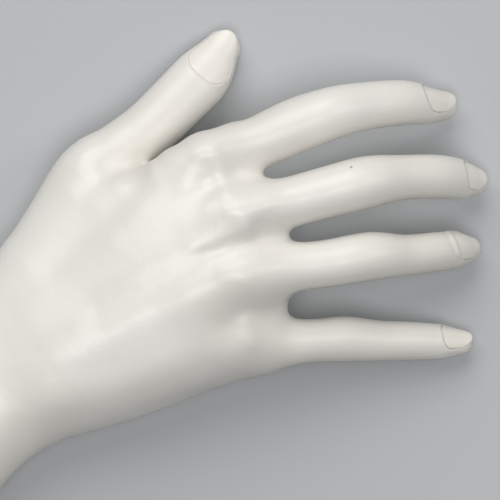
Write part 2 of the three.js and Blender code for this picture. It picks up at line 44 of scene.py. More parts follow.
# The clay form in millimetres, in the hand's own axes: X along the fingers, Y towards the thumb and Z up.
# A digit is a walk along its bone. Every row is the step's length, its heading and its droop, then the half
# breadth there, the rise above the bone and the depth below it.
INDEX = dict(root=(-27.1, 23.3, 33), roll=22, cap=3.9, rows=[
    (0, 0, 0, 6.4, 8, 10), (14.5, 25, -6, 7.3, 9.4, 11), (16.4, 17, 5, 8.1, 9, 9.5),
    (15, 23, 4, 8.8, 8.6, 9), (12.7, 19, 9, 8.3, 8.6, 8.6), (11.8, 12, 22, 7.7, 7.4, 8),
    (12.7, 6, 28, 7.3, 7.2, 7.4), (9.8, -3, 38, 6.3, 6.2, 6.8), (8.3, 0, 39, 4.6, 4.6, 5.5)])
MIDDLE = dict(root=(-17.5, 8.3, 37), roll=13, cap=3.9, rows=[
    (0, 0, 0, 7, 8, 10), (14.3, 14, -8, 7.9, 10.3, 11), (15.3, 12, 6, 7.9, 9, 9.5),
    (13.3, 15, 6, 8.1, 8.6, 9), (13.8, 14, 10, 8.3, 9, 8.8), (13.3, 8, 27, 7.2, 7.6, 8),
    (13.3, 2, 32, 7.1, 7.4, 7.6), (10.3, -5, 43, 6.5, 6.4, 6.8), (7.8, -7, 45, 4.6, 4.6, 5.5)])
RING = dict(root=(-17.5, -9.2, 36), roll=10, cap=3.9, rows=[
    (0, 0, 0, 7, 8, 10), (14.5, 8, -6, 7.6, 10, 11), (14.5, 6, 6, 7.6, 8.6, 9),
    (12.9, 6, 7, 7.5, 8.2, 8.6), (14.9, 9, 12, 7.8, 8.8, 8.4), (12.7, 2, 26, 6.6, 6.9, 7.6),
    (12.8, 6, 31, 6.3, 6.8, 7.2), (8.8, 6, 45, 6, 5.8, 6.4), (6.7, 2, 51, 4.2, 4.4, 5.2)])
LITTLE = dict(root=(-17.6, -28.2, 27), roll=20, cap=4, rows=[
    (0, 0, 0, 6.4, 7, 9), (14.8, 0, -4, 7.4, 8.5, 9.5), (14.6, -5, 14, 7.4, 7.4, 8),
    (10.2, 2, 17, 6.9, 7, 7.4), (10.4, 2, 20, 7.3, 7.4, 7.4), (11.9, -3, 17, 6.5, 6.4, 6.8),
    (11, -1, 16, 6.2, 6.2, 6.4), (9.7, -2, 17, 5.7, 5.2, 5.6), (7, -2, 18, 4.1, 3.8, 4.6)])
THUMB = dict(root=(-62.2, 4.9, 15), roll=0, cap=5.2, rows=[
    (0, 0, 0, 11.7, 10, 11), (21.6, 63, -13, 10.7, 10.5, 11), (12.9, 37, 4, 9.7, 9, 10),
    (13.1, 39, 11, 9.2, 8.4, 9), (14.6, 45, 16, 9.4, 8.4, 8.4), (11.8, 47, 15, 9.2, 7, 7.6),
    (10.6, 55.5, 12, 5.9, 4.8, 6.4)])

# Palm bones run from the wrist over the arch of the hand to just under a knuckle
PALM_BONES = [
    (INDEX, 0.7, (-61.1, -20.9, 24), (-39, 2.2, 30.5)),
    (MIDDLE, 1.5, (-61, -28.9, 25.5), (-33.5, -8, 33)),
    (RING, 1.5, (-62.7, -35.4, 24.5), (-33.5, -21.7, 32)),
    (LITTLE, 0.2, (-64.5, -41.9, 21.5), (-33.7, -35.3, 27))]
PALM_BONE_SECTIONS = [(9.6, 10, 11), (11, 9.5, 12.5), (8.2, 9.5, 12)]
THUMB_BALL = dict(points=[(-76.5, -17.2, 15), (-64.4, 1.9, 17), (-51.7, 22.6, 18.5)],
                  sections=[(12.3, 13, 12), (12, 12, 14), (10, 10, 12)])
LITTLE_BALL = dict(points=[(-70, -48, 15), (-42.1, -41.5, 16), (-16.2, -33, 17), (3.9, -31.3, 19)],
                   sections=[(11, 13, 12), (13, 12, 13), (11.6, 10, 11), (7.8, 8, 9)])
THUMB_MUSCLE = dict(points=[(-64.4, -8.1, 22.5), (-50.8, 8.4, 24), (-40.5, 17.3, 25.5)],
                    sections=[(11.6, 9, 9), (10.3, 9, 9), (6.4, 8, 8)])
THUMB_FOLD = dict(points=[(-44.3, 13.5, 26), (-37.2, 19.6, 27), (-31.4, 21.8, 28), (-25.6, 25.3, 29.5),
                          (-20.1, 28.8, 31.5), (-14, 31.3, 33.5)],
                  sections=[(5.8, 8, 8), (5.5, 7.6, 7.5), (5.4, 7.4, 7), (5.4, 7.2, 7), (5.4, 7.2, 7),
                            (5.7, 7.4, 8)], roll=14)
WRIST_BONE = dict(points=[(-104.7, -76.7, 22), (-90.2, -63.1, 22), (-76, -50.3, 22)],
                  sections=[(7.7, 12, 10), (7.7, 12, 10), (7.4, 12, 10)])
# A web hangs between the first bones of two fingers: where along each bone it starts and how far under it,
# then its half breadths
WEBS = [
    ((INDEX, 0.65, 2.6), (MIDDLE, 0.21, 4.7), (5.4, 5.4, 5.4)),
    ((MIDDLE, 0.51, 4.2), (RING, 0.62, 3.6), (7, 7, 7)),
    ((RING, 0.56, 4.7), (LITTLE, 0.48, 2.3), (7.7, 6.9, 6.1))]

# Forearm and its closed end, and the pieces that close it
WRIST = np.array((-81, -40.7, 20.0))
OUT = np.array((math.cos(math.radians(225.7)), math.sin(math.radians(225.7)), 0.0))
END = WRIST + 50 * OUT
END_HALF_BREADTH, END_HALF_HEIGHT = 27.4, 19.4
MOUTH_WALL, PLATE_DEPTH, FIT, RIM_ROUND = 1.8, 5.0, 0.3, 0.4
BUSH_BORE, BUSH_BODY, BUSH_FLANGE, BUSH_FLANGE_DEPTH, BUSH_LENGTH = 8.0, 12.0, 20.0, 1.6, 17.0
SCREW_HEAD, SCREW_HEAD_HEIGHT, SCREW_SHANK, SCREW_LENGTH = 5.4, 2.2, 3.0, 14.0
SLOT_LENGTH, SLOT_WIDTH, SLOT_DEPTH = 3.2, 0.7, 1.2
WASHER_RADIUS, WASHER_THICKNESS, NUT_FLATS, NUT_HEIGHT, NUT_CORNERS, NUT_CHAMFER = 11, 1.2, 9, 6, 13, 2.2
OUTER_PITCH, BORE_PITCH, EDGE_BREAK, OVERSHOOT = 1.0, 1.25, 0.15, 1
BOSS_SECTION = [(1.8, -5.3), (4.2, -5.3), (4.2, -18.3), (1.8, -18.3)]
SCREW_PLACES = [(-15.6, -9.4), (15.6, -9.4), (-15.6, 9.4), (15.6, 9.4)]

# The skin: the size of its faces as clay and when finished, its wall, and the line and width of the seam
CLAY_VOXEL, SKIN_VOXEL, QUICK_VOXEL, WALL = 2.2, 0.95, 1.6, 1.3
SEAM_DROP, SEAM_BLEND, HAIRLINE = 2.4, 8, 0.06

# Nails: length, how far each runs past the tip station, half its spread round the digit and its turn, both in
# degrees, the depth of the half ovals at its root and its free edge, how deep its root is sunk, and the gap
# behind the root
NAILS = {
    "thumb_nail": dict(digit=THUMB, length=19.2, past=4.8, spread=57, turn=3, root_curve=6.8, tip_curve=6.5,
                       sink=0.35, gap=0.04),
    "index_nail": dict(digit=INDEX, length=14.6, past=1.7, spread=60, turn=8, root_curve=6, tip_curve=4.8,
                       sink=0.9, gap=0.22),
    "middle_nail": dict(digit=MIDDLE, length=11.6, past=1.4, spread=54, turn=6, root_curve=5, tip_curve=4.8,
                        sink=1, gap=0.22),
    "ring_nail": dict(digit=RING, length=13, past=1, spread=58, turn=10, root_curve=3.4, tip_curve=4.8,
                      sink=0.35, gap=0.16),
    "little_nail": dict(digit=LITTLE, length=10.7, past=3, spread=58, turn=16, root_curve=2.8, tip_curve=4.8,
                        sink=0.35, gap=0.2)}
NAIL_THICKNESS, NAIL_OVERHANG, NAIL_SIDE_GAP, NAIL_BED_GAP, CORNER_LIFT = 0.55, 1.9, 0.06, 0.15, 0.75
# The skin round a nail: how much of the nail's depth it follows at the root, and the reach of the finer mesh
FOLD_SHARE, FOLD_REACH = 0.65, 2.4

# The photograph's camera is 1.2 m above the hand, straight over the middle of the picture. One picture point
# is 0.32 mm in the picture plane, 30 mm up.
CAMERA_HEIGHT, PICTURE_PLANE, POINT, PICTURE_SIZE, BACK_HEIGHT = 1200.0, 30.0, 0.32, 500, 36.0


def photo_place(across, down, height=BACK_HEIGHT):
    """Where a picture point lies on the hand, at a height above the floor."""
    reach = POINT * (CAMERA_HEIGHT - height) / (CAMERA_HEIGHT - PICTURE_PLANE)
    return ((across - PICTURE_SIZE / 2) * reach, (PICTURE_SIZE / 2 - down) * reach)


# Soft relief: between which heights it fades in, and the height at which its picture points are read. Then
# paths, each with its half width on the left and on the right and how far it stands out.
RELIEF = [
    (22, 30, 36, [
        # First knuckle: its crest, the edge that falls into the valley beside it, and the dimple behind
        ([(198, 155), (206, 152.5), (213, 153)], 2.0, 1.5, 0.5),
        ([(217, 156), (220, 166), (222, 178), (225, 188)], 1.4, 2.2, 0.4),
        ([(205, 169), (205, 184)], 2.8, 2.8, -0.26),
        # The fine fold above the second knuckle, the dip behind it, and the fullness below the thumb's base
        ([(206, 208), (213, 201), (225, 194)], 1.0, 1.3, 0.14),
        ([(180, 201), (206, 187)], 3.5, 3.5, -0.25),
        ([(74, 191), (90, 182), (111, 172)], 3.4, 3.4, 0.5),
        # Second knuckle
        ([(229, 211), (236, 209)], 1.9, 1.9, 0.45),
        ([(245, 217), (246, 226)], 1.9, 1.7, 0.38),
        ([(269, 206), (255, 213), (250, 224), (249, 231)], 1.2, 2.4, 0.3),
        ([(243, 232), (229, 234), (215, 241), (194, 246)], 1.4, 2.8, 0.36),
        # Third and fourth knuckles
        ([(222, 267), (238, 261), (255, 254)], 1.5, 2.6, 0.4),
        ([(230, 271), (248, 279)], 2.4, 2.4, 0.3),
        ([(246, 323), (251, 342)], 2.0, 2.0, 0.6),
        # Valleys between the knuckles; the last one is filled a little
        ([(238, 152), (241, 178)], 6.5, 2.4, -0.5),
        ([(212, 261), (230, 258), (244, 248), (257, 232)], 3.6, 3.6, -0.9),
        ([(198, 299), (235, 299), (256, 302)], 8.0, 7.0, 1.2),
        # Tendons, the vein over the wrist and the soft crest of the thumb's base
        ([(28, 366), (75, 354), (105, 339), (125, 324), (142, 313)], 2.4, 3.0, 0.1),
        ([(100, 311), (145, 293), (186, 274)], 3.5, 3.5, -0.75),
        ([(-10, 327), (32, 302), (55, 287), (80, 264), (105, 245)], 2.6, 2.6, 0.18),
        ([(118, 236), (148, 206), (190, 168)], 3.0, 5.0, 0.4),
        ([(84, 150), (80, 163)], 3.0, 3.0, 0.45),
        # Fullness of the heel of the hand towards its edge
        ([(55, 402), (100, 397), (150, 376), (205, 345)], 5.5, 5.5, 1.1)]),
    # The edge of the fold beside the thumb is trimmed back
    (26, 30, 36, [([(237, 110), (214, 117)], 2.6, 2.6, -1.1),
                  ([(203, 121), (186, 128), (176, 134)], 2.8, 2.8, -1.9),
                  ([(169, 139), (157, 147)], 2.2, 2.2, -0.8),
                  ([(152, 158), (141, 166), (132, 171)], 2.6, 2.0, -0.9)]),
    # The crease where the back of the hand runs over the thumb's base, and the filled bottom of its end
    (18, 21, 25, [([(141, 166.5), (133, 171), (124, 173), (115, 174.5)], 1.6, 3.4, -1.2)]),
    (12, 16, 22, [([(146, 162.5), (140, 166), (134, 169)], 1.6, 1.6, 0.6),
                  # A fine crease behind the third nail
                  ([(446, 234), (450, 241), (455, 251)], 0.45, 0.45, -0.22)])]

# Creases of the palm side, in the hand's own axes, each with its half width and how far it stands out
PALM_CREASES = [
    ([(-8, 34), (-16, 24), (-26, 17), (-40, 12), (-54, 4), (-64, -8)], 1.0, -0.7),
    ([(-8, 32), (-14, 16), (-22, 2), (-34, -14), (-46, -26)], 1.0, -0.55),
    ([(0, 14), (-3, 2), (-8, -14), (-12, -28), (-14, -40)], 1.0, -0.55)]


def heading(angle, droop):
    """The direction of a bone."""
    level = math.cos(math.radians(droop))
    return np.array((level * math.cos(math.radians(angle)), level * math.sin(math.radians(angle)),
                     -math.sin(math.radians(droop))))


def walk(digit):
    """The stations of a digit's bone."""
    at = np.array(digit["root"], float)
    places = []
    for length, angle, droop, *_ in digit["rows"]:
        at = at + heading(angle, droop) * length
        places.append(at)
    return np.array(places)


def smooth_line(points, steps=6):
    """A Catmull-Rom curve through points or through rows of sizes."""
    p = np.asarray(points, float)
    p = np.vstack([2 * p[0] - p[1], p, 2 * p[-1] - p[-2]])
    line = []
    for a, b, c, d in zip(p, p[1:], p[2:], p[3:]):
        for t in np.arange(steps) / steps:
            line.append(b + 0.5 * t * (c - a + t * (2 * a - 5 * b + 4 * c - d + t * (3 * b - 3 * c + d - a))))
    line.append(p[-2])
    return np.array(line)


FAR = 40.0  # distance beyond which a limb has no say


def unit(ways):
    return ways / np.linalg.norm(ways, axis=1)[:, None]


class Limb:
    """A limb of changing section swept along a smooth line; calling it gives the distance of many points."""

    def __init__(self, points, sections, roll=0, cap=8, root_cap=8):
        self.centre = smooth_line(points)
        self.section = smooth_line(sections)
        self.cap, self.root_cap = cap, root_cap
        up = np.array((0, math.sin(math.radians(roll)), math.cos(math.radians(roll))))
        self.along = unit(np.gradient(self.centre, axis=0))
        self.side = unit(np.cross(self.along, up))
        self.back = np.cross(self.side, self.along)
        self.low, self.high = self.centre.min(0) - FAR, self.centre.max(0) + FAR

    def __call__(self, p):
        far = np.full(len(p), FAR)
        near = np.all((p > self.low) & (p < self.high), axis=1)
        if not near.any():
            return far
        q = p[near]
        best, span, share = np.full(len(q), 1e9), np.zeros(len(q), int), np.zeros(len(q))
        for i in range(len(self.centre) - 1):
            run = self.centre[i + 1] - self.centre[i]
            v = q - self.centre[i]
            t = np.clip(v @ run / (run @ run), 0, 1)
            square = (v * v).sum(1) - 2 * t * (v @ run) + t * t * (run @ run)
            closer = square < best
            best[closer], span[closer], share[closer] = square[closer], i, t[closer]
        f = share[:, None]
        centre, section, along, side, back = (
            part[span] * (1 - f) + part[span + 1] * f
            for part in (self.centre, self.section, self.along, self.side, self.back))
        v = q - centre
        across, above, beyond = ((v * way).sum(1) for way in (side, back, along))
        last = len(self.centre) - 2
        past = ((span == 0) & (share <= 0)) | ((span == last) & (share >= 1))
        beyond = np.where(past, beyond, 0)
        cap = np.where(span < (last + 1) / 2, self.root_cap, self.cap)
        height = np.where(above > 0, section[:, 1], section[:, 2])
        ratio = np.sqrt((across / section[:, 0]) ** 2 + (above / height) ** 2 + (beyond / cap) ** 2) + 1e-9
        far[near] = np.sqrt(across ** 2 + above ** 2 + beyond ** 2) * (1 - 1 / ratio)
        return far

    def before_tip(self, distance):
        """Centre, direction, side, back and section of the bone at distances before its tip station."""
        runs = np.linalg.norm(np.diff(self.centre, axis=0), axis=1)
        arc = np.concatenate([[0], np.cumsum(runs)])
        at = arc[-1] - distance
        parts = (self.centre, self.along, self.side, self.back, self.section)
        return [np.stack([np.interp(at, arc, column) for column in part.T], 1) for part in parts]


def palm_bone_limb(finger, sink, wrist, arch):
    """From the wrist over the arch of the hand to a point a little under the knuckle."""
    knuckle = walk(finger)[1] - np.array((0, 0, sink))
    return Limb([wrist, arch, knuckle], PALM_BONE_SECTIONS)


def web_limb(start, end, half_breadths):
    """The web between two fingers, which sags 1 mm in its middle."""
    (finger_a, along_a, sink_a), (finger_b, along_b, sink_b) = start, end
    a, b = walk(finger_a), walk(finger_b)
    a = a[1] + along_a * (a[2] - a[1]) - np.array((0, 0, sink_a))
    b = b[1] + along_b * (b[2] - b[1]) - np.array((0, 0, sink_b))
    sections = [(half, rise, 6.5) for half, rise in zip(half_breadths, (7, 6.5, 7))]
    return Limb([a, (a + b) / 2 - np.array((0, 0, 1)), b], sections)


FOREARM = Limb([END + 9 * OUT, WRIST + 27.5 * OUT, WRIST, WRIST + np.array((13.2, 10, 0))],
               [(28.2, 19.4, 19.4), (25.65, 19.4, 19), (23.9, 17.5, 17.5), (23.9, 15, 15)], 0, 20, 3)
for digit in (INDEX, MIDDLE, RING, LITTLE, THUMB):
    digit["limb"] = Limb(walk(digit), [row[3:] for row in digit["rows"]], digit["roll"], digit["cap"], 6)
# Every limb with the width over which it melts into the ones before it
LIMBS = [(palm_bone_limb(*bone), 26) for bone in PALM_BONES]
LIMBS += [(Limb(**THUMB_BALL), 18), (Limb(**LITTLE_BALL), 18), (FOREARM, 22), (Limb(**WRIST_BONE), 8),
          (Limb(**THUMB_MUSCLE), 16), (Limb(**THUMB_FOLD), 9)]
LIMBS += [(web_limb(*web), 9) for web in WEBS]
LIMBS += [(finger["limb"], 7) for finger in (INDEX, MIDDLE, RING, LITTLE)] + [(THUMB["limb"], 5)]


def melt(a, b, width):
    """The smaller of two distances, with a cubic round of the given width where they meet."""
    share = np.maximum(width - np.abs(a - b), 0) / width
    return np.minimum(a, b) - share ** 3 * width / 6


def ease(value, low, high):
    """Runs smoothly from 0 at the low value to 1 at the high one."""
    t = np.clip((value - low) / (high - low), 0, 1)
    return t * t * (3 - 2 * t)


def path_distance(p, path):
    """Level distance to a path, and the side of it that a point lies on: 1 on its left, -1 on its right."""
    nearest, side = np.full(len(p), 1e9), np.zeros(len(p))
    for a, b in zip(path, path[1:]):
        a, b = np.array(a), np.array(b)
        run, v = b - a, p[:, :2] - a
        t = np.clip(v @ run / (run @ run), 0, 1)
        away = v - t[:, None] * run
        distance = np.hypot(away[:, 0], away[:, 1])
        closer = distance < nearest
        nearest[closer] = distance[closer]
        lean = (run[0] * away[:, 1] - run[1] * away[:, 0]) / (math.hypot(*run) * distance + 1e-9)
        side[closer] = lean[closer]
    return nearest, side


def swell(p, path, left, right, height):
    """A soft ridge along a path, or a furrow, with its own half width on either side."""
    distance, side = path_distance(p, path)
    width = (left + right) / 2 + side * (left - right) / 2
    return height * np.exp(-(distance / width) ** 2 / 2)


def picture_path(points, height=BACK_HEIGHT):
    return [photo_place(*point, height) for point in points]


RELIEF_PATHS = [(low, high, picture_path(path, height), *shape)
                for low, high, height, paths in RELIEF for path, *shape in paths]


def relief(p):
    """How far the finished surface stands out of the plain clay form."""
    total = np.zeros(len(p))
    for low, high, path, left, right, height in RELIEF_PATHS:
        total += ease(p[:, 2], low, high) * swell(p, path, left, right, height)
    palm_side = 1 - ease(p[:, 2], 14, 20)
    for path, width, height in PALM_CREASES:
        total += palm_side * swell(p, path, width, width, height)
    return total


def skin_distance(p):
    """How far points lie outside the skin, near enough; negative inside."""
    total = np.full(len(p), FAR)
    for limb, blend in LIMBS:
        total = melt(total, limb(p), blend)
    return total - relief(p)


def slope(p, here):
    """The slope of the distance, from steps along the three axes."""
    reach = 0.15
    return np.stack([(skin_distance(p + reach * np.eye(3)[i]) - here) / reach for i in range(3)], 1)


def away_from_skin(p, least):
    """Outward directions, shorter than 1 where the slope is under the least one."""
    way = slope(p, skin_distance(p))
    return way / np.maximum(np.linalg.norm(way, axis=1), least)[:, None]


def settle(p, rounds):
    """Moves points along the slope of the distance, 2 mm at most each time, until they lie on the skin."""
    for _ in range(rounds):
        here = skin_distance(p)
        way = slope(p, here)
        move = here / np.maximum((way ** 2).sum(1), 0.25)
        p = p - way * np.clip(move, -2, 2)[:, None]
    return p


# The place of the hand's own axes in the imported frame, from the bush in the middle of the wrist end
bush_points = np.array([v.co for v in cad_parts["stand_bush"].data.vertices]) / MM
ACROSS = np.cross((0, 0, 1), OUT)
across_run, height_run = bush_points @ ACROSS, bush_points[:, 2]
end_in_frame = ((bush_points @ OUT).max() * OUT + (across_run.min() + across_run.max()) / 2 * ACROSS
                + np.array((0, 0, (height_run.min() + height_run.max()) / 2)))
SHIFT = end_in_frame - END


def to_frame(p):
    """Hand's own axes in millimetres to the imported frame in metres."""
    return (np.asarray(p) + SHIFT) * MM


def read_points(verts):
    """Places of mesh points in the hand's own axes."""
    return np.array([v.co for v in verts]) / MM - SHIFT


def write_points(verts, p):
    for v, co in zip(verts, to_frame(p)):
        v.co = co


def add_object(name, data):
    made = bpy.data.objects.new(name, data)
    scene.collection.objects.link(made)
    return made


def new_object(name, bm):
    """Turns a bmesh into an object of the scene."""
    mesh = bpy.data.meshes.new(name)
    bm.to_mesh(mesh)
    bm.free()
    return add_object(name, mesh)


def after_modifiers(objects):
    """The bmesh that the first object's modifiers give; the objects are removed."""
    result = bmesh.new()
    result.from_mesh(objects[0].evaluated_get(bpy.context.evaluated_depsgraph_get()).to_mesh())
    for made in objects:
        mesh = made.data
        bpy.data.objects.remove(made)
        bpy.data.meshes.remove(mesh)
    return result


def new_piece(name, bm, sharp, material, replaced):
    """Makes a piece of the model; edges that turn by more than an angle stay sharp."""
    for e in bm.edges:
        if len(e.link_faces) == 2 and e.calc_face_angle(0) > sharp:
            e.smooth = False
    piece = new_object(name, bm)
    for polygon in piece.data.polygons:
        polygon.use_smooth = True
    piece.data.materials.append(material)
    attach(piece, "root")
    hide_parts(replaced)


# Materials
def linear(hex_colour):
    """An sRGB hex colour as linear values, with its alpha."""
    values = [int(hex_colour[i:i + 2], 16) / 255 for i in (1, 3, 5)]
    return tuple(v / 12.92 if v <= 0.04045 else ((v + 0.055) / 1.055) ** 2.4 for v in values) + (1.0,)


def new_material(name):
    material = bpy.data.materials.new(name)
    material.use_nodes = True
    tree = material.node_tree
    return material, tree, tree.nodes["Principled BSDF"]


def set_up(tree, made, settings):
    """Settings go to a node's properties, or to its sockets by name or number, and other nodes' outputs are
    linked to them."""
    for key, value in settings.items():
        if isinstance(value, bpy.types.NodeSocket):
            tree.links.new(value, made.inputs[key])
        elif isinstance(key, str) and hasattr(made, key):
            setattr(made, key, value)
        else:
            made.inputs[key].default_value = value


def node(tree, kind, settings, output):
    """Adds a node with its settings and links, and gives one of its outputs."""
    made = tree.nodes.new("ShaderNode" + kind)
    set_up(tree, made, settings)
    return made.outputs[output]


def per_metre(size):
    """A pattern's scale from the size of its cells in millimetres."""
    return 1 / (size * MM)


# The sockets of a Mix node that mixes colours
SHARE, FIRST, SECOND, MIXED = 0, 6, 7, 2


def paint_material(name, light, shade, rough, pit=None):
    """Off-white satin lacquer sprayed over a cast resin: soft broad highlights, faint orange peel."""
    material, tree, shader = new_material(name)
    place = node(tree, "TexCoord", {}, "Object")
    # Cloudy change of tone where the sprayed coat is thicker
    cloud = node(tree, "TexNoise", {"Scale": per_metre(40), "Detail": 3.0, "Roughness": 0.5,
                                    "Vector": place}, "Fac")
    cloudy = node(tree, "MapRange", {"From Min": 0.35, "From Max": 0.7, "To Max": 0.75,
                                     "Value": cloud}, "Result")
    colour = node(tree, "Mix", {"data_type": "RGBA", SHARE: cloudy, FIRST: linear(light),
                                SECOND: linear(shade)}, MIXED)
    # Settled dust and fine grain, in specks coarse enough to show
    speck = node(tree, "TexNoise", {"Scale": per_metre(0.7143), "Detail": 2.0, "Roughness": 0.6,
                                    "Vector": place}, "Fac")
    dusty = node(tree, "MapRange", {"From Min": 0.62, "From Max": 0.8, "To Max": 0.1,
                                    "Value": speck}, "Result")
    # Painted shade in the nails' seats and in a thin line round the nails, darker along roots with a wider
    # gap, from the piece's own attribute
    painted_root_shade = node(tree, "Attribute", {"attribute_name": "painted_root_shade"}, "Fac")
    for share, tint in ((dusty, "#b9b09c"), (painted_root_shade, "#77705f")):
        colour = node(tree, "Mix", {"data_type": "RGBA", "blend_type": "MULTIPLY", SHARE: share,
                                    FIRST: colour, SECOND: linear(tint)}, MIXED)
    # Orange peel of the sprayed coat, in shallow dimples
    peel = node(tree, "TexNoise", {"Scale": per_metre(1.613), "Detail": 1.5, "Roughness": 0.4,
                                   "Vector": place}, "Fac")
    normal = node(tree, "Bump", {"Strength": 0.05, "Distance": 0.0006, "Height": peel}, "Normal")
    # Broad unevenness of the casting under the paint
    wave = node(tree, "TexNoise", {"Scale": per_metre(9.091), "Detail": 2.0, "Roughness": 0.5,
                                   "Vector": place}, "Fac")
    normal = node(tree, "Bump", {"Strength": 0.12, "Distance": 0.0012, "Height": wave,
                                 "Normal": normal}, "Normal")
    if pit is not None:
        # A pinhole left by an air bubble in the casting, 0.9 mm across
        away = node(tree, "VectorMath", {"operation": "DISTANCE", 0: place, 1: pit}, "Value")
        hole = node(tree, "MapRange", {"From Min": 0.00015, "From Max": 0.0005, "To Min": 1.0, "To Max": 0.0,
                                       "Value": away}, "Result")
        # The darker colour towards the pinhole's middle is painted shade inside the hole
        colour = node(tree, "Mix", {"data_type": "RGBA", SHARE: hole, FIRST: colour,
                                    SECOND: linear("#8d8676")}, MIXED)
        depth = node(tree, "MapRange", {"From Max": 0.0006, "To Min": -1.0, "To Max": 0.0,
                                        "Value": away}, "Result")
        normal = node(tree, "Bump", {"Strength": 0.8, "Distance": 0.0004, "Height": depth,
                                     "Normal": normal}, "Normal")
    gloss = node(tree, "MapRange", {"From Min": 0.3, "From Max": 0.7, "To Min": rough - 0.03,
                                    "To Max": rough + 0.05, "Value": cloud}, "Result")
    set_up(tree, shader, {"Base Color": colour, "Roughness": gloss, "Normal": normal, "IOR": 1.5})
    return material


def moulded_material(name, light, shade, rough):
    """Injection-moulded ABS with a fine spark-eroded grain, a touch duller than the paint."""
    material, tree, shader = new_material(name)
    place = node(tree, "TexCoord", {}, "Object")
    cloud = node(tree, "TexNoise", {"Scale": per_metre(16.67), "Detail": 4.0, "Vector": place}, "Fac")
    cloudy = node(tree, "MapRange", {"From Min": 0.35, "From Max": 0.7, "Value": cloud}, "Result")
    colour = node(tree, "Mix", {"data_type": "RGBA", SHARE: cloudy, FIRST: linear(light),
                                SECOND: linear(shade)}, MIXED)
    # Moulded grain, drawn coarser than the real one so that it shows
    grain = node(tree, "TexVoronoi", {"Scale": per_metre(0.5), "Vector": place}, "Distance")
    normal = node(tree, "Bump", {"Strength": 0.25, "Distance": 0.0002, "Height": grain}, "Normal")
    gloss = node(tree, "MapRange", {"From Min": 0.3, "From Max": 0.7, "To Min": rough, "To Max": rough + 0.12,
                                    "Value": cloud}, "Result")
    set_up(tree, shader, {"Base Color": colour, "Roughness": gloss, "Normal": normal, "IOR": 1.53})
    return material


def metal_material(name, light, shade, rough, ring_spacing):
    """Turned metal: fine rings left by the tool round the part's axis, and darker patches of oxide."""
    material, tree, shader = new_material(name)
    place = node(tree, "TexCoord", {}, "Object")
    from_end = tuple(-v for v in to_frame(END))
    turn = (0, 0, -math.atan2(OUT[1], OUT[0]))
    centred = node(tree, "Mapping", {"Location": from_end, "Vector": place}, "Vector")
    turned = node(tree, "Mapping", {"Rotation": turn, "Vector": centred}, "Vector")
    # Tool marks, drawn wider apart than real ones so that they show. The rings of a wave texture lie pi / 10
    # apart at a scale of 1.
    rings = node(tree, "TexWave", {"wave_type": "RINGS", "rings_direction": "X",
                                   "Scale": per_metre(ring_spacing) * math.pi / 10,
                                   "Distortion": 0.4, "Detail": 2.0, "Vector": turned}, "Fac")
    normal = node(tree, "Bump", {"Strength": 0.12, "Distance": 0.0001, "Height": rings}, "Normal")
    oxide = node(tree, "TexNoise", {"Scale": per_metre(2.632), "Detail": 4.0, "Vector": place}, "Fac")
    dull = node(tree, "MapRange", {"From Min": 0.4, "From Max": 0.75, "To Max": 0.9,
                                   "Value": oxide}, "Result")
    colour = node(tree, "Mix", {"data_type": "RGBA", SHARE: dull, FIRST: linear(light),
                                SECOND: linear(shade)}, MIXED)
    gloss = node(tree, "MapRange", {"From Min": 0.3, "From Max": 0.75, "To Min": rough,
                                    "To Max": rough + 0.16, "Value": oxide}, "Result")
    set_up(tree, shader, {"Base Color": colour, "Roughness": gloss, "Normal": normal, "Metallic": 1.0})
    return material


# The pinhole on the middle finger, placed by its picture point and dropped onto the skin
pit_height = 42.0
pit_place = settle(np.array([(*photo_place(351, 165, pit_height), pit_height)]), 4)[0]
skin_paint = paint_material("satin_lacquer", "#ece9e2", "#e2ded5", 0.32, tuple(to_frame(pit_place)))
nail_paint = paint_material("nail_lacquer", "#efebe3", "#e8e3d8", 0.27)
plate_plastic = moulded_material("moulded_abs", "#d9d5cb", "#cdc8bc", 0.5)
bush_brass = metal_material("turned_brass", "#c8a96a", "#9c7f48", 0.28, 0.5236)
zinc_steel = metal_material("zinc_plated_steel", "#c4c6c8", "#9ea1a4", 0.3, 0.3491)


# Skin: overlapping balls along every limb are fused, then pulled onto the clay form
def fused(bm, voxel):
    """One closed skin round everything in a mesh, with even faces of a size in millimetres."""
    lump = new_object("fusing", bm)
    remesh = lump.modifiers.new("remesh", "REMESH")
    remesh.mode = "VOXEL"
    remesh.voxel_size = voxel * MM
    return after_modifiers([lump])


def pull_in(bm, rounds):
    """Pulls a mesh onto the form, then evens out the few spots where it has folded over itself."""
    write_points(bm.verts, settle(read_points(bm.verts), rounds))
    bm.normal_update()
    folded, rings, smoothings = 0.9, 3, 12
    spots = {v for e in bm.edges if e.calc_face_angle(0) > folded for v in e.verts}
    for _ in range(rings):
        spots |= {e.other_vert(v) for v in spots for e in v.link_edges}
    spots = sorted(spots, key=lambda v: v.index)
    if not spots:
        return
    for _ in range(smoothings):
        bmesh.ops.smooth_vert(bm, verts=spots, factor=0.5, use_axis_x=True, use_axis_y=True, use_axis_z=True)
    write_points(spots, settle(read_points(spots), rounds))


def clay_lumps():
    """Balls just inside every limb, three abreast."""
    bm = bmesh.new()
    for limb, _ in LIMBS:
        for i in range(0, len(limb.centre), 2):
            half, rise, depth = limb.section[i]
            radius = min(half, (rise + depth) / 2) * 0.97
            middle = limb.centre[i] + limb.back[i] * (rise - depth) / 2
            spread = max(half - radius, 0)
            for offset in (-spread, 0, spread):
                centre = to_frame(middle + limb.side[i] * offset)
                bmesh.ops.create_icosphere(bm, subdivisions=2, radius=radius * MM,
                                           matrix=Matrix.Translation(Vector(centre)))
    return bm


